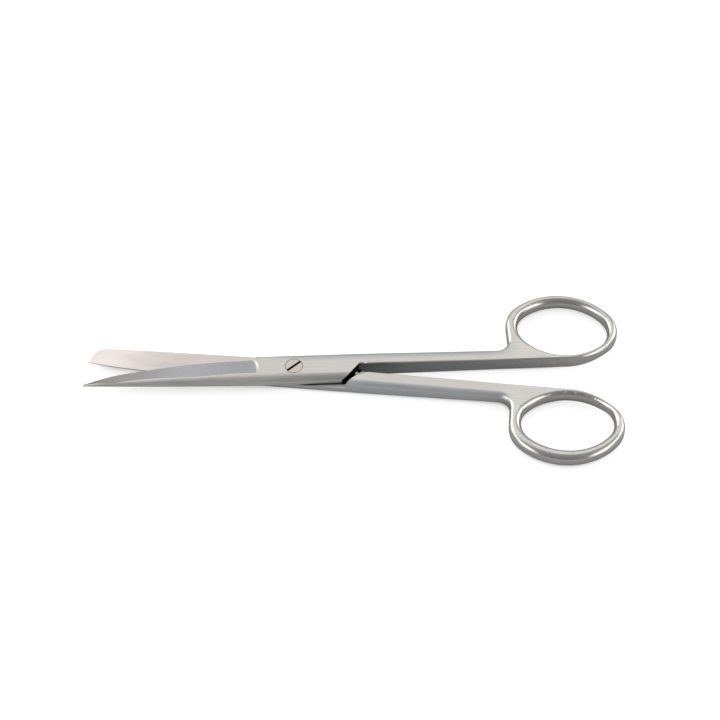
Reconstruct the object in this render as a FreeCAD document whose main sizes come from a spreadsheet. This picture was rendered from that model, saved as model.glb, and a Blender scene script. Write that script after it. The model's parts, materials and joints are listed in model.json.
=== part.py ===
"""Surgical scissors, one sharp and one blunt blade, joined by a slotted screw.

The halves are drawn closed, the way a toolmaker lays them out, with the screw on
the Z axis, the blades towards -X and the finger rings towards +X. The lap plane
between the halves is level, half a thickness above the underside of the joint.
Each half is drawn with its lap face downwards. The blunt half is then turned over
about the X axis, and both are opened by half the opening angle.
"""
import FreeCAD, Part
import math
import os
import Sketcher

os.makedirs("parts", exist_ok=True)
doc = FreeCAD.newDocument("surgical_scissors")
V = FreeCAD.Vector

# Driving dimensions in millimetres and degrees, the same for both halves
SIZES = {
    "thick": 5.0,
    "lap_gap": 0.05,
    "opening": 7.8,
    "joint_front": -8.0,
    "plate_flat": 0.3,
    "back_side": 4.3,
    "back_flat": 0.9,
    "plate_end": 17.3,
    "plate_slant": 39.0,
    "corner_round": 5.0,
    "corner_past": 0.1,
    "shoulder_gap": 0.85,
    "shoulder_slant": 43.5,
    "inner_face": 0.35,
    "taper_gap": 2.0,
    "taper_slope": 0.8,
    "level_run": 1.0,
    "ring_x": 72.45,
    "ring_long": 15.05,
    "ring_wide": 11.45,
    "ring_tilt": -8.0,
    "wall_heel": 3.15,
    "wall_end": 2.75,
    "wall_root": 1.55,
    "root_round": 0.4,
    "hole_bevel": 0.75,
    "web_fillet": 3.2,
    "screw_dia": 3.0,
    "head_dia": 4.7,
    "head_edge": 0.3,
    "slot_width": 0.5,
    "slot_depth": 0.7,
    "slot_turn": 43.5,
    "run_gap": 0.05,
    "tap_gap": 0.02,
    "grind_gap": 0.95,
    "grind_radius": 1.0,
    "grind_bow": 11.0,
    "grind_apex": -0.8,
    "edge_land": 0.35,
    "ridge_flat": 0.15,
    "thinning": 1.7,
    "end_lean": 0.27,
    "end_run": 4.7,
    "end_curve": 2.8,
}

# Each half's own sizes: the ring's wall, the bar's inner side, the plate beside the screw, and the blade
HALVES = {
    "sharp": {
        "wall_bow": 2.75,
        "inner_root": 0.12,
        "plate_side": 4.45,
        "tip_x": -55.8,
        "tip_back": -2.85,
        "tip_width": 0.55,
        "tip_height": 0.25,
        "belly_back": 15.8,
        "belly_y": 3.5,
        "back_bow": 0.16,
    },
    "blunt": {
        "wall_bow": 3.5,
        "inner_root": -0.26,
        "plate_side": 4.1,
        "tip_x": -54.8,
        "tip_back": -3.1,
        "tip_width": 5.0,
        "tip_height": 0.6,
        "belly_back": 7.8,
        "belly_y": 3.5,
        "back_bow": 0.05,
    },
}

# Where the blades' cross-sections lie, from root to tip, closer together at the tip
SHARES = (0, 0.25, 0.5, 0.75, 0.9, 1)

# How far tools and joined blanks reach past the surfaces that they cut or meet
REACH = 3.0
OVERLAP = 0.5

sheet = doc.addObject("Spreadsheet::Sheet", "sizes")
rows = list(SIZES.items())
for half, own in HALVES.items():
    rows += [(half + "_" + alias, value) for alias, value in own.items()]

# Sizes that follow from the driving ones
rows += [
    ("floor", "0"),
    ("mid_height", "=thick/2"),
    ("lap_height", "=mid_height+lap_gap/2"),
    ("clear_height", "=thick+%g" % REACH),
    ("clear_depth", "=-%g" % REACH),
    ("plate_round", "=mid_height-plate_flat"),
    ("back_round", "=mid_height-back_flat"),
    ("shoulder_end", "=plate_end+shoulder_gap"),
    ("taper_start", "=shoulder_end+taper_gap"),
    ("ring_end_arc", "=ring_wide^2/ring_long"),
    ("ring_side", "=(ring_long^2+ring_wide^2-2*ring_long*ring_end_arc)/(2*(ring_wide-ring_end_arc))"),
    ("ring_y", "=inner_face-0.01+ring_side-(ring_side-ring_wide)*cos(ring_tilt*1deg)"),
    ("bar_end", "=ring_x-(ring_side-ring_wide)*sin(ring_tilt*1deg)"),
    ("plate_lap", "=inner_face+%g" % OVERLAP),
    ("cut_side", "=back_side+%g" % REACH),
    ("cut_near", "=-cut_side"),
    ("cut_front", "=sharp_tip_x-%g" % REACH),
    ("shoulder_far", "=shoulder_end-cut_side*tan(shoulder_slant*1deg)"),
    ("shoulder_near", "=shoulder_end+cut_side*tan(shoulder_slant*1deg)"),
    ("grind_end", "=joint_front-grind_gap"),
    ("head_radius", "=head_dia/2"),
    ("screw_radius", "=screw_dia/2"),
    ("run_radius", "=screw_radius+run_gap"),
    ("run_head", "=head_radius+run_gap"),
    ("tap_radius", "=screw_radius+tap_gap"),
    ("rim_height", "=thick-head_edge"),
    ("neck_height", "=rim_height-(head_radius-screw_radius)"),
]
for half in HALVES:
    hole = half + "_hole"
    drop = "({0}_wide-{0}_end_arc)".format(hole)
    rows += [
        (hole + "_x", "=ring_x+(wall_heel-wall_end)/2"),
        (hole + "_y", "=ring_y-(%s_wall_bow-wall_root)/2" % half),
        (hole + "_long", "=ring_long-(wall_heel+wall_end)/2"),
        (hole + "_wide", "=ring_wide-(%s_wall_bow+wall_root)/2" % half),
        (hole + "_end_arc", "={0}_wide^2/{0}_long".format(hole)),
        (hole + "_side", "=({0}_long^2+{0}_wide^2-2*{0}_long*{0}_end_arc)/(2*{1})".format(hole, drop)),
    ]
for oval_name in ("ring", "sharp_hole", "blunt_hole"):
    reach = "(%s_long-%s_end_arc)" % (oval_name, oval_name)
    rows += [
        (oval_name + "_heel_x", "=%s_x-%s*cos(ring_tilt*1deg)" % (oval_name, reach)),
        (oval_name + "_heel_y", "=%s_y-%s*sin(ring_tilt*1deg)" % (oval_name, reach)),
        (oval_name + "_end_x", "=%s_x+%s*cos(ring_tilt*1deg)" % (oval_name, reach)),
        (oval_name + "_end_y", "=%s_y+%s*sin(ring_tilt*1deg)" % (oval_name, reach)),
    ]
rows += [
    ("web_x", "=ring_heel_x-ring_end_arc"),
    ("web_top", "=ring_heel_y"),
    ("far_x", "=ring_x+ring_long+%g" % REACH),
    ("taper_end", "=web_x-web_fillet-level_run"),
    ("ring_under", "=(taper_end-taper_start)*tan(taper_slope*1deg)"),
    ("ring_top", "=thick-ring_under"),
    ("cut_width", "=4*(ring_wide+ring_y)"),
]
for half in HALVES:
    rows += [
        (half + "_plate_y", "=-%s_plate_side" % half),
        (half + "_plate_x", "=plate_end-(inner_face+%s_plate_side)*tan(plate_slant*1deg)" % half),
        (half + "_tip_edge", "={0}_tip_back+{0}_tip_width".format(half)),
        (half + "_belly_x", "={0}_tip_x+{0}_belly_back".format(half)),
    ]
for row, (alias, value) in enumerate(rows, start=1):
    sheet.set("A%d" % row, alias)
    sheet.set("B%d" % row, value if isinstance(value, str) else "%g" % value)
    sheet.setAlias("B%d" % row, alias)
doc.recompute()


def size(alias):
    """The value of a named size in the sheet."""
    return float(sheet.get(alias))


def origin_plane(body, role):
    """One of the body's own origin planes."""
    return next(feature for feature in body.Origin.OriginFeatures if feature.Role == role)


def new_sketch(body, name, role):
    """An empty sketch on one of the body's origin planes."""
    sketch = body.newObject("Sketcher::SketchObject", name)
    sketch.AttachmentSupport = (origin_plane(body, role), "")
    sketch.MapMode = "FlatFace"
    return sketch


def bind(sketch, kind, points, alias):
    """A dimension between points of a sketch, tied to a named size."""
    index = sketch.addConstraint(Sketcher.Constraint(kind, *points, size(alias)))
    sketch.setExpression("Constraints[%d]" % index, "sizes." + alias)


def polygon(body, name, role, corners):
    """A closed sketch of straight lines. Each corner is a pair of named sizes."""
    sketch = new_sketch(body, name, role)
    points = [V(size(first), size(second), 0) for first, second in corners]
    count = len(points)
    for index in range(count):
        sketch.addGeometry(Part.LineSegment(points[index], points[(index + 1) % count]), False)
    for index in range(count):
        sketch.addConstraint(Sketcher.Constraint("Coincident", index, 2, (index + 1) % count, 1))
    for index, (first, second) in enumerate(corners):
        bind(sketch, "DistanceX", (-1, 1, index, 1), first)
        bind(sketch, "DistanceY", (-1, 1, index, 1), second)
    return sketch


def oval_arcs(prefix):
    """The four arcs of a tilted oval: each one's centre, radius and angles, with the two ends first."""
    tilt = math.radians(size("ring_tilt"))
    drop = size(prefix + "_side") - size(prefix + "_wide")
    join = math.atan2(drop, size(prefix + "_long") - size(prefix + "_end_arc"))
    middle = V(size(prefix + "_x"), size(prefix + "_y"), 0)
    across = V(-math.sin(tilt), math.cos(tilt), 0) * drop
    end = V(size(prefix + "_end_x"), size(prefix + "_end_y"), 0)
    heel = V(size(prefix + "_heel_x"), size(prefix + "_heel_y"), 0)
    side = size(prefix + "_side")
    small = size(prefix + "_end_arc")
    return [
        (end, small, tilt - join, tilt + join),
        (heel, small, tilt + math.pi - join, tilt + math.pi + join),
        (middle - across, side, tilt + join, tilt + math.pi - join),
        (middle + across, side, tilt + math.pi + join, tilt + 2 * math.pi - join),
    ]


def oval(body, name, prefix):
    """A sketch of a four-arc oval: two small end arcs and two large side arcs, all tangent."""
    sketch = new_sketch(body, name, "XY_Plane")
    for centre, radius, start, end in oval_arcs(prefix):
        circle = Part.Circle(centre, V(0, 0, 1), radius)
        sketch.addGeometry(Part.ArcOfCircle(circle, start, end), False)
    for first, second in ((0, 2), (2, 1), (1, 3), (3, 0)):
        sketch.addConstraint(Sketcher.Constraint("Tangent", first, 2, second, 1))
    for arc, place in ((0, "_end"), (1, "_heel")):
        bind(sketch, "DistanceX", (-1, 1, arc, 3), prefix + place + "_x")
        bind(sketch, "DistanceY", (-1, 1, arc, 3), prefix + place + "_y")
    for arc, alias in ((0, "_end_arc"), (1, "_end_arc"), (2, "_side"), (3, "_side")):
        bind(sketch, "Radius", (arc,), prefix + alias)
    return sketch


def pad(body, sketch, alias):
    """Raise a sketch by a named height."""
    feature = body.newObject("PartDesign::Pad", sketch.Name + "_pad")
    feature.Profile = sketch
    feature.setExpression("Length", "sizes." + alias)
    doc.recompute()
    return feature


def pocket(body, sketch, alias, middle):
    """Cut a sketch away over a named length, to both sides of its plane or to one."""
    feature = body.newObject("PartDesign::Pocket", sketch.Name + "_cut")
    feature.Profile = sketch
    feature.Reversed = True
    feature.Midplane = middle
    feature.setExpression("Length", "sizes." + alias)
    doc.recompute()
    return feature


def edge_number(shape, x, y, z):
    """The number of the edge whose middle is nearest to a place; None leaves a coordinate open."""
    def miss(edge):
        middle = edge.valueAt((edge.FirstParameter + edge.LastParameter) / 2)
        return sum(abs(have - want) for have, want in zip(middle, (x, y, z)) if want is not None)
    edges = shape.Edges
    return 1 + min(range(len(edges)), key=lambda index: miss(edges[index]))


def forging(half):
    """The plate, bar, web and ring of one half, before its edges are rounded."""
    body = doc.addObject("PartDesign::Body", half + "_forging")
    bar = polygon(body, half + "_bar", "XY_Plane", [
        ("joint_front", half + "_inner_root"), ("bar_end", "inner_face"), ("bar_end", "web_top"),
        ("web_x", "web_top"), ("web_x", "back_side"), ("joint_front", "back_side"),
    ])
    pad(body, bar, "thick")
    plate = polygon(body, half + "_plate", "XY_Plane", [
        ("joint_front", half + "_plate_y"), (half + "_plate_x", half + "_plate_y"),
        ("plate_end", "inner_face"), ("plate_end", "plate_lap"), ("joint_front", "plate_lap"),
    ])
    pad(body, plate, "thick")
    pad(body, oval(body, half + "_ring_outline", "ring"), "thick")
    pocket(body, oval(body, half + "_hole_outline", half + "_hole"), "clear_height", False)
    top = polygon(body, half + "_top", "XZ_Plane", [
        ("taper_start", "thick"), ("taper_end", "ring_top"), ("far_x", "ring_top"),
        ("far_x", "clear_height"), ("taper_start", "clear_height"),
    ])
    pocket(body, top, "cut_width", True)
    under = polygon(body, half + "_under", "XZ_Plane", [
        ("taper_start", "floor"), ("taper_end", "ring_under"), ("far_x", "ring_under"),
        ("far_x", "clear_depth"), ("taper_start", "clear_depth"),
    ])
    tapered = pocket(body, under, "cut_width", True)
    corner = body.newObject("PartDesign::Fillet", half + "_web_corner")
    number = edge_number(tapered.Shape, size("web_x"), size("back_side"), None)
    corner.Base = (tapered, ["Edge%d" % number])
    corner.setExpression("Radius", "sizes.web_fillet")
    doc.recompute()
    return body


def edge_work(kind, name, base, choices):
    """Rounded or bevelled edges: each choice is a place near the edge's middle and two sizes.

    The two sizes are the radii at the ends of a rounded edge, or a bevel's widths.
    """
    feature = doc.addObject(kind, name)
    feature.Base = base
    shape = base.Shape
    feature.Edges = [(edge_number(shape, *place), first, last) for place, first, last in choices]
    doc.recompute()
    return feature


def arc_middle(centre, radius, start, end):
    """The X and Y of the middle of an arc."""
    angle = (start + end) / 2
    return centre.x + radius * math.cos(angle), centre.y + radius * math.sin(angle)


def rounded(half, body):
    """The forging with its edges rounded, less so where the ring runs out into the bar."""
    back = size("back_round")
    root = size("root_round")
    finger = size("hole_bevel")
    plate = size("plate_round")
    thick = size("thick")
    front = size("joint_front")
    taper = size("taper_start")
    level = size("taper_end")
    side = size("back_side")
    web_x = size("web_x")
    web_top = size("web_top")
    bend = size("web_fillet")
    inset = bend * (1 - math.sqrt(0.5))
    end_arc, heel_arc, bow_arc, root_arc = oval_arcs("ring")
    heel_arc = (heel_arc[0], heel_arc[1], heel_arc[2], math.pi)
    root_arc = (root_arc[0], root_arc[1], 1.5 * math.pi, root_arc[3])
    outer = [(((front + size(half + "_plate_x")) / 2, size(half + "_plate_y"), thick), plate, plate)]
    for joint_height, ring_height in ((0, size("ring_under")), (thick, size("ring_top"))):
        outer += [
            (((front + taper) / 2, side, joint_height), back, back),
            (((taper + level) / 2, side, (joint_height + ring_height) / 2), back, back),
            (((level + web_x - bend) / 2, side, ring_height), back, back),
            ((web_x - inset, side + inset, ring_height), back, back),
            ((web_x, (side + bend + web_top) / 2, ring_height), back, back),
            ((*arc_middle(*heel_arc), ring_height), back, back),
            ((*arc_middle(*bow_arc), ring_height), back, back),
            ((*arc_middle(*end_arc), ring_height), back, back),
            ((*arc_middle(*root_arc), ring_height), root, back),
        ]
    outside = edge_work("Part::Fillet", half + "_outer_edges", body, outer)
    inside = []
    for ring_height in (size("ring_under"), size("ring_top")):
        for arc in oval_arcs(half + "_hole"):
            inside.append(((*arc_middle(*arc), ring_height), finger, finger))
    return edge_work("Part::Chamfer", half + "_hole_edges", outside, inside)


def curve_height(start, belly, end, place):
    """Where a quadratic Bezier curve through three control points stands at a place on X."""
    bend = start[0] - 2 * belly[0] + end[0]
    slope = belly[0] - start[0]
    under = math.sqrt(slope * slope - bend * (start[0] - place))
    share = (-slope - under) / bend if abs(bend) > 1e-6 else (place - start[0]) / (2 * slope)
    return (1 - share) ** 2 * start[1] + 2 * share * (1 - share) * belly[1] + share ** 2 * end[1]


def station(half, place):
    """One cross-section of a blade: its back, ridge and edge in Y, and its height above the lap."""
    root = size("joint_front")
    tip = size(half + "_tip_x")
    share = (place - root) / (tip - root)
    back_root = size(half + "_plate_y")
    back_tip = size(half + "_tip_back")
    back = back_root + (back_tip - back_root) * share
    back -= 4 * size(half + "_back_bow") * share * (1 - share)
    edge = curve_height(
        (root, size("back_side")),
        (size(half + "_belly_x"), size(half + "_belly_y")),
        (tip, size(half + "_tip_edge")),
        place,
    )
    full = size("mid_height")
    tip_height = size(half + "_tip_height")
    height = tip_height + (full - tip_height) * (1 - share ** size("thinning"))
    ridge_root = back_root + size("plate_round")
    ridge_tip = back_tip + size("plate_round") * tip_height / full
    ridge = ridge_root + (ridge_tip - ridge_root) * share ** 2
    return back, ridge, edge, height


def station_places(half):
    """Where the cross-sections of a blade lie on X."""
    root = size("joint_front")
    tip = size(half + "_tip_x")
    return [root + (tip - root) * share for share in SHARES]


def quarter(start, end, centre):
    """A quarter of an ellipse as a curve with three weighted points."""
    corner = start + end - centre
    curve = Part.BSplineCurve()
    weights = [1, math.sqrt(0.5), 1]
    curve.buildFromPolesMultsKnots([start, corner, end], [3, 3], [0, 1], False, 2, weights)
    return curve.toShape()


def blank(half):
    """The blade before its bevel is ground: a tapering bar with a rounded back and far corner."""
    lap = size("mid_height")
    low = lap - OVERLAP
    wires = []
    for place in station_places(half):
        back, ridge, edge, height = station(half, place)
        near_height = height * size("plate_round") / lap
        far_round = height * size("back_round") / lap
        top = lap + height
        points = [
            V(place, back, low), V(place, back, top - near_height), V(place, ridge, top),
            V(place, edge - far_round, top), V(place, edge, top - far_round), V(place, edge, low),
        ]
        wires.append(Part.Wire([
            Part.makeLine(points[0], points[1]),
            quarter(points[1], points[2], V(place, ridge, top - near_height)),
            Part.makeLine(points[2], points[3]),
            quarter(points[3], points[4], V(place, edge - far_round, top - far_round)),
            Part.makeLine(points[4], points[5]),
            Part.makeLine(points[5], points[0]),
        ]))
    feature = doc.addObject("Part::Feature", half + "_blank")
    feature.Shape = Part.makeLoft(wires, True, False)
    return feature


def wheel(half):
    """What the grinding wheel takes off: all above the bevel, up to a bowed end at the joint.

    The end is part of a large cylinder, 60 degrees to each side of its apex, and runs out
    from the bevel in a round.
    """
    lap = size("mid_height")
    high = size("clear_height")
    front = size("grind_end")
    bow = size("grind_bow")
    apex = size("grind_apex")
    tip = size(half + "_tip_x")
    wires = []
    for place in [front + OVERLAP] + station_places(half)[1:] + [tip - REACH]:
        _, ridge, edge, height = station(half, max(place, tip))
        low = V(place, edge, lap + min(size("edge_land"), height / 2))
        top = V(place, ridge + size("ridge_flat"), lap + height)
        run = (low - top).normalize() * REACH
        near = top - run
        far = low + run
        points = [far, near, V(place, near.y, high), V(place, far.y, high)]
        wires.append(Part.makePolygon(points + points[:1]))
    turn = math.radians(60)
    side = front - bow * (1 - math.cos(turn))
    reach = bow * math.sin(turn)
    corners = [
        V(side, apex + reach, 0), V(tip - 2 * REACH, apex + reach, 0),
        V(tip - 2 * REACH, apex - reach, 0), V(side, apex - reach, 0),
    ]
    edges = [Part.Arc(corners[3], V(front, apex, 0), corners[0]).toShape()]
    edges += [Part.makeLine(here, there) for here, there in zip(corners, corners[1:])]
    bowed = Part.Face(Part.Wire(edges)).extrude(V(0, 0, high + REACH))
    solid = Part.makeLoft(wires, True, False).common(bowed)
    lowest = solid.Edges[edge_number(solid, front, apex, lap) - 1]
    feature = doc.addObject("Part::Feature", half + "_wheel")
    feature.Shape = solid.makeFillet(size("grind_radius"), [lowest])
    return feature


def corner_tool(half):
    """What is cut off to round the plate's corner behind the joint, in plan."""
    slant = math.radians(size("plate_slant"))
    bend = size("corner_round")
    low = size("clear_depth")
    lowest = size(half + "_plate_y") - size("corner_past")
    start_y = lowest + bend * (1 - math.sin(slant))
    start_x = size("plate_end") - (size("inner_face") - start_y) * math.tan(slant)
    centre = V(start_x - bend * math.cos(slant), lowest + bend, low)
    halfway = (slant + math.pi / 2) / 2
    start = V(start_x, start_y, low)
    middle = centre + V(math.cos(halfway), -math.sin(halfway), 0) * bend
    end = V(centre.x, lowest, low)
    outside = [
        end, V(end.x, lowest - REACH, low), V(start_x + REACH, lowest - REACH, low),
        V(start_x + REACH, start_y, low), start,
    ]
    edges = [Part.Arc(start, middle, end).toShape()]
    edges += [Part.makeLine(here, there) for here, there in zip(outside, outside[1:])]
    feature = doc.addObject("Part::Feature", half + "_corner_tool")
    feature.Shape = Part.Face(Part.Wire(edges)).extrude(V(0, 0, size("clear_height") - low))
    return feature


def blunt_end():
    """What is cut off to leave the blunt blade's end: a slanting line that curves into the back."""
    tip = size("blunt_tip_x")
    edge = size("blunt_tip_edge")
    lean = size("end_lean")
    low = size("clear_depth")
    last_x = tip + size("end_run")
    back = station("blunt", last_x)[0]
    turn = back + size("end_curve")
    first = V(tip - lean * REACH, edge + REACH, low)
    second = V(tip + lean * (edge - turn), turn, low)
    corner = V(tip + lean * (edge - back), back, low)
    last = V(last_x, back, low)
    curve = Part.BezierCurve()
    curve.setPoles([second, corner, last])
    outside = [
        last, V(last_x, back - REACH, low), V(tip - REACH, back - REACH, low),
        V(tip - REACH, edge + REACH, low), first,
    ]
    edges = [Part.makeLine(first, second), curve.toShape()]
    edges += [Part.makeLine(here, there) for here, there in zip(outside, outside[1:])]
    feature = doc.addObject("Part::Feature", "blunt_end_tool")
    feature.Shape = Part.Face(Part.Wire(edges)).extrude(V(0, 0, size("clear_height") - low))
    return feature


def lap_tool(half):
    """The material under the plate and blade, up to the slanted shoulder."""
    body = doc.addObject("PartDesign::Body", half + "_lap_tool")
    outline = polygon(body, half + "_lap", "XY_Plane", [
        ("cut_front", "cut_near"), ("shoulder_near", "cut_near"),
        ("shoulder_far", "cut_side"), ("cut_front", "cut_side"),
    ])
    pad(body, outline, "lap_height")
    return body


def cut(name, base, tool):
    """One solid taken away from another."""
    feature = doc.addObject("Part::Cut", name)
    feature.Base = base
    feature.Tool = tool
    return feature


def turned(name, neck, rim):
    """The countersunk screw, or the hole it runs in, turned about the Z axis."""
    body = doc.addObject("PartDesign::Body", name)
    outline = polygon(body, name + "_outline", "XZ_Plane", [
        ("floor", "floor"), (neck, "floor"), (neck, "neck_height"), (rim, "rim_height"),
        (rim, "thick"), ("floor", "thick"),
    ])
    revolution = body.newObject("PartDesign::Revolution", name + "_turned")
    revolution.Profile = outline
    revolution.ReferenceAxis = (outline, ["V_Axis"])
    revolution.Angle = 360
    return body


def tapped_bore():
    """The hole in the blunt half that holds the screw."""
    bore = doc.addObject("Part::Cylinder", "blunt_bore")
    bore.setExpression("Radius", "sizes.tap_radius")
    bore.setExpression("Height", "sizes.thick")
    return bore


def slot():
    """The screwdriver slot, right across the head and turned to where it stands in use."""
    box = doc.addObject("Part::Box", "slot")
    box.setExpression("Length", "sizes.head_dia*2")
    box.setExpression("Width", "sizes.slot_width")
    box.setExpression("Height", "sizes.slot_depth*2")
    turn = "(sizes.slot_turn*1deg)"
    back = "-sizes.head_dia*cos%s+sizes.slot_width/2*sin%s" % (turn, turn)
    side = "-sizes.head_dia*sin%s-sizes.slot_width/2*cos%s" % (turn, turn)
    box.setExpression("Placement.Base.x", back)
    box.setExpression("Placement.Base.y", side)
    box.setExpression("Placement.Base.z", "sizes.thick-sizes.slot_depth")
    box.setExpression("Placement.Rotation.Angle", "sizes.slot_turn*1deg")
    return box


def scissor_half(half, bore):
    """One half: forged, joined to its blade, ground, lapped and bored."""
    whole = doc.addObject("Part::Fuse", half + "_joined")
    whole.Base = rounded(half, forging(half))
    whole.Tool = blank(half)
    whole.Refine = True
    milled = cut(half + "_milled", whole, corner_tool(half))
    ground = cut(half + "_ground", milled, wheel(half))
    if half == "blunt":
        ground = cut("blunt_ended", ground, blunt_end())
    lapped = cut(half + "_lapped", ground, lap_tool(half))
    return cut(half + "_half", lapped, bore)


sharp_half = scissor_half("sharp", turned("sharp_bore", "run_radius", "run_head"))
blunt_half = scissor_half("blunt", tapped_bore())
pivot_screw = cut("pivot_screw", turned("screw_blank", "screw_radius", "head_radius"), slot())
doc.recompute()

# Lay the halves on each other and open them
up = V(0, 0, 1)
opened = FreeCAD.Rotation(up, size("opening") / 2)
flipped = FreeCAD.Placement(V(0, 0, size("thick")), FreeCAD.Rotation(V(1, 0, 0), 180))
sharp_half.Placement = FreeCAD.Placement(V(0, 0, 0), opened)
blunt_half.Placement = FreeCAD.Placement(V(0, 0, 0), opened.inverted()).multiply(flipped)
doc.recompute()

nodes = {"sharp_half": sharp_half, "blunt_half": blunt_half, "pivot_screw": pivot_screw}
for label, node in nodes.items():
    node.Label = label
for thing in doc.Objects:
    if "Invalid" in thing.State or "Error" in thing.State:
        raise RuntimeError("%s failed: %s" % (thing.Name, thing.State))
for label, node in nodes.items():
    if node.Shape.isNull() or not node.Shape.isValid() or len(node.Shape.Solids) != 1:
        raise RuntimeError("%s is not one sound solid" % label)
for label, node in nodes.items():
    node.Shape.exportStep("parts/%s.step" % label)
    print(label, "%.1f mm3" % node.Shape.Volume)
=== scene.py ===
"""The looks of a pair of surgical scissors: forged stainless steel, ground and polished by hand.

The two halves and the screw keep the solids' shapes. Each is a merged copy of its solid,
smooth shaded, with a finish for every region that a different wheel or belt has touched.
Some colours are painted light and shade: near black in the joint's corners, along the upper
plate's edge, in and beside the screw's slot and at the head's rim, and across the bars and
on their inner faces.
"""
import json
import math

import bmesh
import bpy
import numpy as np
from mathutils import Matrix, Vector


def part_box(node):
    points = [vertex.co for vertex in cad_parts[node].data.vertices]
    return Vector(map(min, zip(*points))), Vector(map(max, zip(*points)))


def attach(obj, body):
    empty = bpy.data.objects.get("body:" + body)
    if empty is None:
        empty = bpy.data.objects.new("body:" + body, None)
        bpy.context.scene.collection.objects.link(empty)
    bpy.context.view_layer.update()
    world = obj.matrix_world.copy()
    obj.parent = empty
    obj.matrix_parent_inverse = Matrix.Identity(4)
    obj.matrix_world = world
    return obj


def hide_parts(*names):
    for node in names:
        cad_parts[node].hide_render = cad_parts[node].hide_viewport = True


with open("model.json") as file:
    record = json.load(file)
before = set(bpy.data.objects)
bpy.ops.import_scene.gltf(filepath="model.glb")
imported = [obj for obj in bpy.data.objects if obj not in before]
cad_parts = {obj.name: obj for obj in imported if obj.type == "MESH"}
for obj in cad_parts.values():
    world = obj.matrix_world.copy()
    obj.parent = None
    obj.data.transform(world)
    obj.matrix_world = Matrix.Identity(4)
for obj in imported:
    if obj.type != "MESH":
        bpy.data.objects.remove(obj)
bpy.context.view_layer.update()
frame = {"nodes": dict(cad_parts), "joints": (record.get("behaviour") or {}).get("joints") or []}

MM = 0.001
scene = bpy.context.scene

# The halves lie opened by this angle, half of it each, and close by it
OPENING = -frame["joints"][0]["range_deg"][0]
half_turn = OPENING / 2
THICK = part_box("pivot_screw")[1].z / MM
LAP = THICK / 2

# Places along a half, in millimetres from the screw towards the rings
RUN_OUT_BACK = -11.8
RUN_OUT = -8.9
JOINT_FRONT = -8.0
SHOULDER = (12, 22)
PLATE_END = 17.3
PLATE_SIDE = -4.45
MILLED_END = 76.0
SLOT_TURN = 43.5
SHANK_END = 50
RING_START = 53.0

# The finger ring: its level faces, and its hole's centre and half sizes, with the width of its rounded rim
RING_LOW = 0.46
RING_TOP = THICK - RING_LOW
RING_TILT = math.radians(-8)
HOLES = {
    "sharp_half": {"middle": (72.65, 11.25), "long": 12.1, "wide": 9.3, "rim": 1.5},
    "blunt_half": {"middle": (72.65, 10.87), "long": 12.1, "wide": 8.92, "rim": 1.9},
}
RIM_HEIGHT = 2.0
THIN_RIM = 1.1
SHORT_EDGE = 0.42
HALVINGS = 7

# A corner steeper than this shows as an edge
EDGE_ANGLE = math.radians(28)

# Just inside the rim of the screw's head, from the screw's axis
HEAD_INSIDE = 2.3

# Steel as each tool leaves it, and near-black painted shade for the joint's corners, the gap beside the upper
# plate and the screw's slot
BELTED = "#cac7c2"
BUFFED = "#c4c2bd"
WHEEL_GROUND = "#b1b4b9"
PAINTED_SHADE = "#1d1b1a"
SLOT_SHADE = "#2a2724"

# Regions of a half, in the order of its material slots
HANDLE, MILLED, SHADED, GROUND, RUN_OUT_FACE, LAPPED, BACK = range(7)


def srgb(code):
    """A colour written as a hex code, as the linear values that a shader takes."""
    values = np.array([int(code[i:i + 2], 16) for i in (1, 3, 5)]) / 255
    linear = np.where(values <= 0.04045, values / 12.92, ((values + 0.055) / 1.055) ** 2.4)
    return (*linear, 1)


def add(tree, kind, settings=(), inputs=(), links=()):
    """A node with its settings, its input values and the sockets that feed its inputs."""
    node = tree.nodes.new(kind)
    for name, value in dict(settings).items():
        setattr(node, name, value)
    for name, value in dict(inputs).items():
        node.inputs[name].default_value = value
    for name, socket in dict(links).items():
        tree.links.new(socket, node.inputs[name])
    return node


def blank_material(name):
    """A material with an empty node tree."""
    material = bpy.data.materials.new(name)
    material.use_nodes = True
    material.node_tree.nodes.clear()
    return material


def turned_axes(tree, place, turn, scale=(1, 1, 1)):
    """The object's own coordinates, turned by an angle and divided by a scale."""
    return add(
        tree, "ShaderNodeMapping", {"vector_type": "TEXTURE"},
        {"Rotation": (0, 0, math.radians(turn)), "Scale": scale}, {"Vector": place.outputs["Object"]},
    ).outputs["Vector"]


def measure(tree, place, axis, turn):
    """A distance in the object's own frame, turned: along X or Y, to either side of X, or from the Z axis."""
    turned = turned_axes(tree, place, turn)
    if axis == "RADIUS":
        flat = add(tree, "ShaderNodeVectorMath", {"operation": "MULTIPLY"}, {1: (1, 1, 0)}, {0: turned})
        return add(
            tree, "ShaderNodeVectorMath", {"operation": "LENGTH"}, {}, {0: flat.outputs["Vector"]},
        ).outputs["Value"]
    parts = add(tree, "ShaderNodeSeparateXYZ", {}, {}, {"Vector": turned})
    if axis == "ASIDE":
        return add(
            tree, "ShaderNodeMath", {"operation": "ABSOLUTE"}, {}, {0: parts.outputs["Y"]},
        ).outputs["Value"]
    return parts.outputs[axis]


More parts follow.
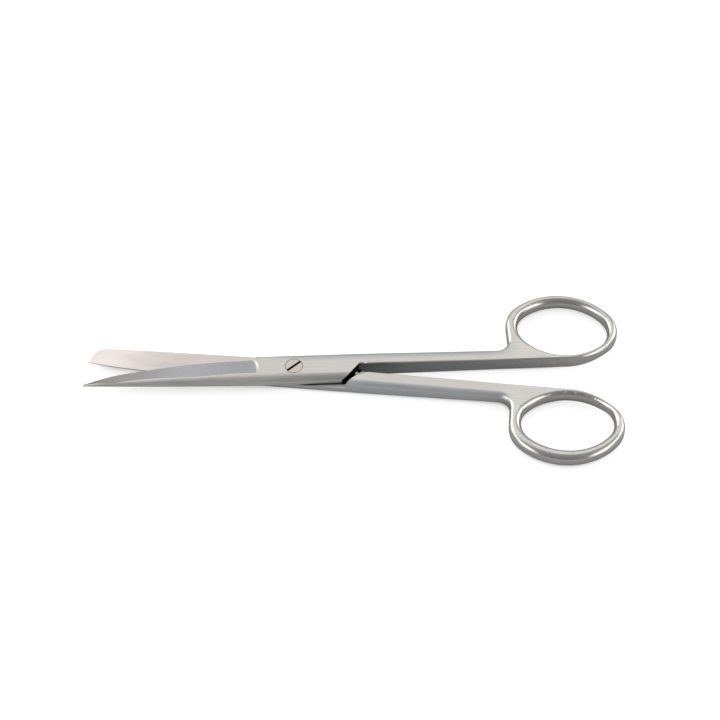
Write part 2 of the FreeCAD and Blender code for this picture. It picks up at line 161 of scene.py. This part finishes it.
def steel(name, colour, roughness, streak, bump, turn, tone=0.06, patches=0.03, changes=()):
    """Stainless steel with belt or wheel marks.

    streak gives the marks' length and width in millimetres, turn their direction in degrees
    from +X, bump their depth in micrometres and tone the share by which they lighten and
    darken the steel. patches is the same share for the slow unevenness of hand polishing.
    Each of the changes names another colour and roughness that the finish goes over to, with
    what is measured, its turn, and the two distances in millimetres between which it does so.
    """
    material = blank_material(name)
    tree = material.node_tree
    place = add(tree, "ShaderNodeTexCoord")
    long, wide = (MM * size for size in streak)
    marks = add(
        tree, "ShaderNodeTexNoise", {}, {"Scale": 1.0, "Detail": 2.0, "Roughness": 0.6},
        {"Vector": turned_axes(tree, place, turn, (long, wide, wide))},
    )
    slow = add(
        tree, "ShaderNodeTexNoise", {}, {"Scale": 1 / (3 * MM), "Detail": 2.0},
        {"Vector": turned_axes(tree, place, turn, (3, 1, 1))},
    )
    start = add(tree, "ShaderNodeCombineXYZ", {}, dict(zip("XYZ", srgb(colour))))
    shade = start.outputs["Vector"]
    level = add(tree, "ShaderNodeValue").outputs[0]
    level.default_value = roughness
    for new_colour, new_roughness, axis, axis_turn, near, far in changes:
        share = add(
            tree, "ShaderNodeMapRange", {"interpolation_type": "SMOOTHSTEP"},
            {"From Min": near * MM, "From Max": far * MM}, {"Value": measure(tree, place, axis, axis_turn)},
        ).outputs["Result"]
        shade = add(
            tree, "ShaderNodeMix", {"data_type": "VECTOR"}, {5: srgb(new_colour)[:3]}, {0: share, 4: shade},
        ).outputs[1]
        level = add(
            tree, "ShaderNodeMix", {"data_type": "FLOAT"}, {3: new_roughness}, {0: share, 2: level},
        ).outputs[0]
    for noise, share in ((marks, tone), (slow, patches)):
        factor = add(
            tree, "ShaderNodeMapRange", {},
            {"From Min": 0.3, "From Max": 0.7, "To Min": 1 - share, "To Max": 1 + share},
            {"Value": noise.outputs["Fac"]},
        )
        shade = add(
            tree, "ShaderNodeVectorMath", {"operation": "SCALE"}, {},
            {0: shade, "Scale": factor.outputs["Result"]},
        ).outputs["Vector"]
    varied = add(
        tree, "ShaderNodeMapRange", {},
        {"From Min": 0.3, "From Max": 0.7, "To Min": 0.88, "To Max": 1.12}, {"Value": slow.outputs["Fac"]},
    )
    rough = add(
        tree, "ShaderNodeMath", {"operation": "MULTIPLY"}, {}, {0: level, 1: varied.outputs["Result"]},
    )
    scratched = add(
        tree, "ShaderNodeBump", {}, {"Strength": 1.0, "Distance": bump * 1e-6},
        {"Height": marks.outputs["Fac"]},
    )
    shader = add(
        tree, "ShaderNodeBsdfPrincipled", {}, {"Metallic": 1.0},
        {"Base Color": shade, "Roughness": rough.outputs["Value"], "Normal": scratched.outputs["Normal"]},
    )
    add(tree, "ShaderNodeOutputMaterial", {}, {}, {"Surface": shader.outputs["BSDF"]})
    return material


def joined_mesh(node, name):
    """A working copy of a CAD node's mesh with its loose triangles joined."""
    mesh = frame["nodes"][node].data.copy()
    mesh.name = name
    work = bmesh.new()
    work.from_mesh(mesh)
    bmesh.ops.remove_doubles(work, verts=work.verts, dist=1e-6)
    bmesh.ops.dissolve_degenerate(work, edges=work.edges, dist=1e-5)
    bmesh.ops.dissolve_limit(
        work, angle_limit=math.radians(0.15), verts=work.verts, edges=work.edges, delimit={"NORMAL"},
    )
    return mesh, work


def finished(mesh, node, name, body, materials):
    """The piece made of a mesh that takes a CAD node's place, smooth but for its real edges."""
    mesh.materials.clear()
    for material in materials:
        mesh.materials.append(material)
    mesh.polygons.foreach_set("use_smooth", np.ones(len(mesh.polygons), bool))
    piece = bpy.data.objects.new(name, mesh)
    scene.collection.objects.link(piece)
    normals = piece.modifiers.new("face weighted normals", "WEIGHTED_NORMAL")
    normals.keep_sharp = True
    normals.weight = 60
    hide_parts(node)
    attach(piece, body)
    return piece


def read(items, name, width, kind=np.float32):
    """One property of all of a mesh's items as an array with a row for each."""
    values = np.empty(len(items) * width, kind)
    items.foreach_get(name, values)
    return values.reshape(-1, width).astype(float)


def in_half(vectors, turn, flipped, lift):
    """Vectors turned back by the half's share of the opening, and over for the lower half."""
    c = math.cos(math.radians(turn))
    s = math.sin(math.radians(turn))
    x = vectors[:, 0] * c + vectors[:, 1] * s
    y = -vectors[:, 0] * s + vectors[:, 1] * c
    z = vectors[:, 2]
    if flipped:
        y = -y
        z = lift - z
    return np.stack([x, y, z], axis=1)


def out_of_half(vectors, turn, flipped, lift):
    """The way back from in_half."""
    x, y, z = vectors.T
    if flipped:
        y = -y
        z = lift - z
    c = math.cos(math.radians(turn))
    s = math.sin(math.radians(turn))
    return np.stack([x * c - y * s, x * s + y * c, z], axis=1)


def from_hole(points, hole):
    """How far points lie outside a ring's hole, and the way out from it.

    The hole is an oval of four tangent arcs. A point belongs to an end arc where its angle
    about that arc's centre is within the arc, and to a side arc elsewhere. Its distance is
    that from the arc's centre less the radius.
    """
    long = hole["long"]
    wide = hole["wide"]
    end = wide ** 2 / long
    side = (long ** 2 + wide ** 2 - 2 * long * end) / (2 * (wide - end))
    away = points[:, :2] - np.array(hole["middle"])
    c = math.cos(RING_TILT)
    s = math.sin(RING_TILT)
    along = away[:, 0] * c + away[:, 1] * s
    across = -away[:, 0] * s + away[:, 1] * c
    join = math.atan2(side - wide, long - end)
    past = np.abs(along) - (long - end)
    at_end = (past > 0) & (np.arctan2(np.abs(across), past) < join)
    from_x = np.where(at_end, along - np.sign(along) * (long - end), along)
    from_y = np.where(at_end, across, across + np.sign(across) * (side - wide))
    reach = np.hypot(from_x, from_y)
    distance = reach - np.where(at_end, end, side)
    way = np.stack([from_x * c - from_y * s, from_x * s + from_y * c], axis=1) / reach[:, None]
    return distance, way


def share_between(values, start, end):
    """A smooth step from 0 at the start to 1 at the end."""
    t = np.clip((values - start) / (end - start), 0, 1)
    return t * t * (3 - 2 * t)


def even_triangles(work):
    """Turns edges between level neighbours in the ring towards even triangles. Some thin ones stay."""
    small = [f for f in work.faces if len(f.verts) == 3 and f.calc_center_median().length > SHANK_END * MM]
    inner = set(small)
    level = [
        e for e in work.edges
        if len(e.link_faces) == 2 and inner.issuperset(e.link_faces) and e.calc_face_angle(9) < math.radians(4)
    ]
    bmesh.ops.beautify_fill(work, faces=small, edges=level, method="ANGLE")


def round_rim(mesh, work, hole, turn, flipped):
    """Rounds the rim of a ring's hole, top and bottom, as hand polishing does.

    Edges near the hole are halved until they are short. With s the distance out from the
    hole, z the height and (rim, top - height) the corner's centre, each vertex in the corner
    has u = (rim - s) / rim and v = (z - top + height) / height. Where u * u + v * v > 1,
    (u, v) is scaled back to 1, on to a quarter of an ellipse. The rim is narrower where the
    ring's wall is thin, beside the bar. It is the same for the underside.
    """
    for _ in range(HALVINGS):
        work.to_mesh(mesh)
        places = in_half(read(mesh.vertices, "co", 3) / MM, turn, flipped, THICK)
        near = (from_hole(places, hole)[0] < hole["rim"] + 0.3) & (places[:, 0] > RING_START)
        ends = read(mesh.edges, "vertices", 2, np.int32).astype(int)
        lengths = np.linalg.norm(places[ends[:, 0]] - places[ends[:, 1]], axis=1)
        long = np.flatnonzero(near[ends].any(axis=1) & (lengths > SHORT_EDGE))
        if not len(long):
            break
        work.edges.ensure_lookup_table()
        bmesh.ops.subdivide_edges(work, edges=[work.edges[i] for i in long], cuts=1)
        ring = [f for f in work.faces if len(f.verts) > 3 and f.calc_center_median().length > SHANK_END * MM]
        bmesh.ops.triangulate(work, faces=ring)
    even_triangles(work)
    work.to_mesh(mesh)
    work.free()
    places = in_half(read(mesh.vertices, "co", 3) / MM, turn, flipped, THICK)
    distance, way = from_hole(places, hole)
    rim = THIN_RIM + (hole["rim"] - THIN_RIM) * share_between(places[:, 1], 2, 7)
    middle = (RING_LOW + RING_TOP) / 2
    above = np.abs(places[:, 2] - middle) - (RING_TOP - middle - RIM_HEIGHT)
    across = (rim - distance) / rim
    over = above / RIM_HEIGHT
    stretch = np.hypot(across, over)
    move = (across > 0) & (over > 0) & (distance > -0.2) & (places[:, 0] > RING_START) & (stretch > 1)
    pull = np.where(move, 1 / np.maximum(stretch, 1), 1)
    shift = np.where(move, rim * (1 - across * pull) - distance, 0)
    drop = np.where(move, RIM_HEIGHT * over * pull - above, 0) * np.sign(places[:, 2] - middle)
    places[:, :2] += way * shift[:, None]
    places[:, 2] += drop
    places = out_of_half(places, turn, flipped, THICK) * MM
    mesh.vertices.foreach_set("co", places.astype(np.float32).ravel())
    mesh.update()


def region_of_faces(place, facing):
    """The region that each face of a half belongs to, by its centre and normal in the half's own frame."""
    x, y, z = place.T
    upright = np.abs(facing[:, 2]) < 0.1
    region = np.full(len(place), HANDLE)
    region[x < JOINT_FRONT - 1] = BACK
    region[(x < RUN_OUT) & (facing[:, 2] > 0.5) & (facing[:, 1] > 0.12)] = GROUND
    region[(x > RUN_OUT_BACK) & (x < RUN_OUT) & (facing[:, 0] < -0.1) & (z > LAP + 0.15)] = RUN_OUT_FACE
    region[(np.abs(z - LAP) < 0.15) & (facing[:, 2] < -0.99)] = LAPPED
    region[(facing[:, 1] < -0.9) & (y > -0.5) & (y < 1) & (x > PLATE_END) & (x < MILLED_END)] = MILLED
    # The plate's end and the shoulder, in the corners of the joint, take the painted shade
    plate_end = upright & (facing[:, 0] > 0.3) & (facing[:, 1] < 0) & (x > 9) & (x < PLATE_END + 1)
    shoulder = upright & (facing[:, 0] < -0.3) & (x > SHOULDER[0]) & (x < SHOULDER[1]) & (z < LAP + 0.1)
    region[(plate_end & (y < 0.6)) | shoulder] = SHADED
    return region


def mark_edges(mesh, region, places, hole):
    """Marks the edges that show as lines: steep ones away from a ring's rim, and those of a ground face."""
    mesh.set_sharp_from_angle(angle=EDGE_ANGLE)
    edges = np.empty(len(mesh.loops), np.int32)
    mesh.loops.foreach_get("edge_index", edges)
    sizes = np.empty(len(mesh.polygons), np.int32)
    mesh.polygons.foreach_get("loop_total", sizes)
    owner = np.repeat(region, sizes)
    lowest = np.full(len(mesh.edges), 99)
    highest = np.full(len(mesh.edges), -1)
    np.minimum.at(lowest, edges, owner)
    np.maximum.at(highest, edges, owner)
    sharp = np.empty(len(mesh.edges), bool)
    mesh.edges.foreach_get("use_edge_sharp", sharp)
    ground = np.isin(lowest, (GROUND, RUN_OUT_FACE)) | np.isin(highest, (GROUND, RUN_OUT_FACE))
    sharp |= (lowest != highest) & ground
    ends = read(mesh.edges, "vertices", 2, np.int32).astype(int)
    rounded = (from_hole(places, hole)[0] < hole["rim"]) & (places[:, 0] > RING_START)
    sharp &= ~(rounded[ends].all(axis=1))
    mesh.edges.foreach_set("use_edge_sharp", sharp)


def half_piece(node, body, turn, flipped, materials):
    """One half: a joined copy with rounded rings, and each face given the finish of its region."""
    name = node.replace("_half", "_steel")
    mesh, work = joined_mesh(node, name)
    round_rim(mesh, work, HOLES[node], turn, flipped)
    place = in_half(read(mesh.polygons, "center", 3) / MM, turn, flipped, THICK)
    facing = in_half(read(mesh.polygons, "normal", 3), turn, flipped, 0)
    region = region_of_faces(place, facing)
    piece = finished(mesh, node, name, body, materials)
    mesh.polygons.foreach_set("material_index", region.astype(np.int32))
    corners = in_half(read(mesh.vertices, "co", 3) / MM, turn, flipped, THICK)
    mark_edges(mesh, region, corners, HOLES[node])
    return piece


def finishes(turn, outer):
    """The finishes of a half whose length runs at an angle to X, one for each region.

    outer is the side of the half that its back and its bar's outer edge are on, along Y. The
    belt and wheel marks are drawn 0.3 to 0.4 mm wide. Real ones are under 0.1 mm, too fine
    to be seen from the camera.
    """
    # Painted light and shade across the bar: darker towards the upper bar's rear edge, lighter on the lower
    # bar's near side
    if outer > 0:
        painted_cross_shading = ("#abacae", 0.4, "Y", turn, 1.3, 3.1)
    else:
        painted_cross_shading = ("#cccccd", 0.46, "Y", turn, -2.2, -3.4)
    back = (BELTED, 0.5, "X", turn, 3, -9)
    ring = (BUFFED, 0.2, "X", turn, 50, 62)
    inner_ring = (BUFFED, 0.22, "X", turn, 50, MILLED_END)
    tip = ("#8f8783", 0.4, "X", turn, -28, -56)
    # A near-black band along the upper plate's near edge: painted shadow of the gap under the plate
    plate_edge_shadow = (PAINTED_SHADE, 0.5, "Y", half_turn, PLATE_SIDE - 0.5, PLATE_SIDE - 0.1)
    heel = ("#cac3be", 0.4, "X", turn, JOINT_FRONT + 2, JOINT_FRONT - 1)
    toe = ("#e4ddd7", 0.38, "X", turn, -32, -52)
    cream = ("#dedad1", 0.38, "X", turn, -10.4, -10.1)
    return [
        # Shanks, plate and rings: a soft grey sheen along the half that turns to a bright polish at the rings,
        # with painted shading across the bars
        steel("satin_brushed_steel", "#c6c4bf", 0.4, (14, 0.3), 1.4, turn, 0.05, 0.03, [painted_cross_shading, back, ring]),
        # Inner faces of the bars: a flatter finish, in a darker, cooler grey that is painted shade of the
        # narrow gap between the bars and sets them off from the bars' tops
        steel("milled_shaded_inner_face_steel", "#adadae", 0.42, (5, 0.3), 1.0, turn, 0.06, 0.03, [inner_ring]),
        # Faces in the corners of the joint: near-black painted shade, so that the upper half is seen to lie on
        # the lower
        steel("joint_corner_shade_steel", PAINTED_SHADE, 0.55, (3, 0.3), 1.0, turn),
        # Ground bevels: cool grey with marks across the blade, darker and warmer towards the point
        steel("wheel_ground_steel", WHEEL_GROUND, 0.36, (5, 0.4), 1.0, turn + 78, 0.06, 0.03, [tip]),
        # Where the wheel left: a small pale crescent that ends the bevel before the joint
        steel("wheel_run_out_steel", WHEEL_GROUND, 0.36, (1.5, 0.3), 1.0, turn + 80, 0.04, 0.02, [cream]),
        # Flat blade face: an even, slightly patchy grey, with a painted shadow line beside the upper plate
        steel("lapped_steel", "#b3b3b5", 0.42, (6, 0.3), 1.4, turn, 0.04, 0.06, [plate_edge_shadow, heel, toe]),
        # Backs of the blades: a broad warm highlight without a clear edge
        steel("belted_blade_back_steel", BELTED, 0.5, (8, 0.3), 1.0, turn, 0.06, 0.03),
    ]


def screw_piece():
    """The slotted screw: a turned, polished head with a shadowed slot."""
    head_rim_shade = ("#4a4540", 0.5, "RADIUS", 0, 2.2, 2.32)
    # Painted shade on the head beside the slot
    slot_side_shade = (SLOT_SHADE, 0.5, "ASIDE", SLOT_TURN, 0.37, 0.31)
    # The head: smoother than the plate, with painted shade at its rim, where it sits in the plate, and beside
    # the slot. Its turning marks are coarser than real
    head = steel("turned_screw_steel", "#bfbab0", 0.26, (1.0, 0.12), 1.0, 30, 0.05, 0.03, [head_rim_shade, slot_side_shade])
    # The slot: painted shade, dark all through, so that it shows as a line from any side
    slot = steel("slot_shade_steel", SLOT_SHADE, 0.5, (1.0, 0.2), 2.0, SLOT_TURN)
    mesh, work = joined_mesh("pivot_screw", "screw_steel")
    work.to_mesh(mesh)
    work.free()
    mesh.set_sharp_from_angle(angle=EDGE_ANGLE)
    piece = finished(mesh, "pivot_screw", "screw_steel", "lower_half", [head, slot])
    centres = read(mesh.polygons, "center", 3) / MM
    normals = read(mesh.polygons, "normal", 3)
    # The slot's walls and floor take the painted shade
    inside = (centres[:, 2] > LAP) & (centres[:, 2] < THICK - 0.02)
    inside &= np.hypot(centres[:, 0], centres[:, 1]) < HEAD_INSIDE
    inside &= (np.abs(normals[:, 2]) < 0.05) | (normals[:, 2] > 0.9)
    piece.data.polygons.foreach_set("material_index", inside.astype(np.int32))
    return piece


def floor():
    """A white table top, lit evenly for the camera so that only shadows darken it: those the lamps cast, and
    painted shade where the steel hems it in.
    """
    half = 3.0
    mesh = bpy.data.meshes.new("floor")
    corners = [(-half, -half, 0), (half, -half, 0), (half, half, 0), (-half, half, 0)]
    mesh.from_pydata(corners, [], [(0, 1, 2, 3)])
    piece = bpy.data.objects.new("floor", mesh)
    scene.collection.objects.link(piece)
    # A plain white without texture, on which only the contact shadow shows, partly cast by the lamps and
    # partly painted
    material = blank_material("matt_white_table")
    tree = material.node_tree
    path = add(tree, "ShaderNodeLightPath")
    matt = add(tree, "ShaderNodeBsdfDiffuse", {}, {"Color": srgb("#c8c8c8")})
    # Painted shade: ambient occlusion dims the camera-only glow where the steel hems the floor in
    open_sky = add(tree, "ShaderNodeAmbientOcclusion", {"samples": 8}, {"Distance": 4 * MM})
    lift = add(
        tree, "ShaderNodeMapRange", {}, {"From Min": 0.1, "From Max": 0.36, "To Min": 0.1, "To Max": 0.68},
        {"Value": open_sky.outputs["AO"]},
    )
    glow = add(tree, "ShaderNodeEmission", {}, {"Color": (1, 1, 1, 1)}, {"Strength": lift.outputs["Result"]})
    none = add(tree, "ShaderNodeEmission", {}, {"Strength": 0.0})
    shown = add(
        tree, "ShaderNodeMixShader", {}, {},
        {0: path.outputs["Is Camera Ray"], 1: none.outputs["Emission"], 2: glow.outputs["Emission"]},
    )
    both = add(tree, "ShaderNodeAddShader", {}, {}, {0: matt.outputs["BSDF"], 1: shown.outputs["Shader"]})
    add(tree, "ShaderNodeOutputMaterial", {}, {}, {"Surface": both.outputs["Shader"]})
    mesh.materials.append(material)


def studio():
    """A room that is pale behind the object, dim behind the camera, bright low down to the left and right.

    To the camera itself it is white.
    """
    world = bpy.data.worlds.new("studio")
    scene.world = world
    world.use_nodes = True
    tree = world.node_tree
    tree.nodes.clear()
    place = add(tree, "ShaderNodeTexCoord")
    axes = add(tree, "ShaderNodeSeparateXYZ", {}, {}, {"Vector": place.outputs["Generated"]})
    depth = add(
        tree, "ShaderNodeMapRange", {}, {"From Min": -1.0, "From Max": 0.6, "To Min": 0.27, "To Max": 0.66},
        {"Value": axes.outputs["Y"]},
    )
    aside = add(tree, "ShaderNodeMath", {"operation": "ABSOLUTE"}, {}, {0: axes.outputs["X"]})
    off_wall = add(tree, "ShaderNodeMath", {"operation": "SUBTRACT"}, {1: 0.77}, {0: aside.outputs["Value"]})
    from_wall = add(tree, "ShaderNodeMath", {"operation": "ABSOLUTE"}, {}, {0: off_wall.outputs["Value"]})
    walls = add(
        tree, "ShaderNodeMapRange", {"interpolation_type": "SMOOTHSTEP"},
        {"From Min": 0.08, "From Max": 0.22, "To Min": 1.7, "To Max": 0.0},
        {"Value": from_wall.outputs["Value"]},
    )
    low = add(
        tree, "ShaderNodeMapRange", {"interpolation_type": "SMOOTHSTEP"},
        {"From Min": 0.55, "From Max": 0.8, "To Min": 1.0, "To Max": 0.0}, {"Value": axes.outputs["Z"]},
    )
    boxes = add(
        tree, "ShaderNodeMath", {"operation": "MULTIPLY_ADD"}, {},
        {0: walls.outputs["Result"], 1: low.outputs["Result"], 2: depth.outputs["Result"]},
    )
    hue = add(
        tree, "ShaderNodeMapRange", {"data_type": "FLOAT_VECTOR"},
        {7: (-1, -1, -1), 8: (0.4, 0.4, 0.4), 9: (0.95, 0.97, 1.02), 10: (1.0, 0.99, 0.965)},
        {6: axes.outputs["Y"]},
    )
    room = add(
        tree, "ShaderNodeBackground", {}, {},
        {"Color": hue.outputs["Vector"], "Strength": boxes.outputs["Value"]},
    )
    white = add(tree, "ShaderNodeBackground", {}, {"Color": (1, 1, 1, 1), "Strength": 1.0})
    path = add(tree, "ShaderNodeLightPath")
    mixed = add(
        tree, "ShaderNodeMixShader", {}, {},
        {0: path.outputs["Is Camera Ray"], 1: room.outputs["Background"], 2: white.outputs["Background"]},
    )
    add(tree, "ShaderNodeOutputWorld", {}, {}, {"Surface": mixed.outputs["Shader"]})


def soft_light(name, place, target, size, power):
    """A soft box: a square lamp that faces its target."""
    lamp = bpy.data.lights.new(name, "AREA")
    lamp.size = size
    lamp.energy = power
    holder = bpy.data.objects.new(name, lamp)
    holder.location = place
    holder.rotation_mode = "QUATERNION"
    holder.rotation_quaternion = (Vector(target) - Vector(place)).to_track_quat("-Z", "Y")
    scene.collection.objects.link(holder)


def camera():
    """The photograph's view: 50 degrees down, from 480 mm, with 3.72 pixels to a millimetre at its middle."""
    target = Vector((17.3, 6.7, 0)) * MM
    distance = 480 * MM
    down = math.radians(50)
    heading = math.radians(1.6)
    ahead = Vector((-math.sin(heading) * math.cos(down), math.cos(heading) * math.cos(down), -math.sin(down)))
    lens = bpy.data.cameras.new("camera")
    lens.sensor_width = 36
    lens.lens = 36 * 3.72 * 480 / 720
    lens.clip_start = 0.01
    lens.clip_end = 20
    holder = bpy.data.objects.new("camera", lens)
    holder.location = target - ahead * distance
    holder.rotation_mode = "QUATERNION"
    holder.rotation_quaternion = ahead.to_track_quat("-Z", "Y")
    scene.collection.objects.link(holder)
    scene.camera = holder


half_piece("sharp_half", "upper_half", half_turn, False, finishes(half_turn, 1))
half_piece("blunt_half", "lower_half", -half_turn, True, finishes(-half_turn, -1))
screw_piece()
floor()
studio()
soft_light("key", (-0.15, 0.6, 0.7), (0.01, 0, 0), 1.1, 2.0)
camera()
scene.view_settings.view_transform = "Standard"
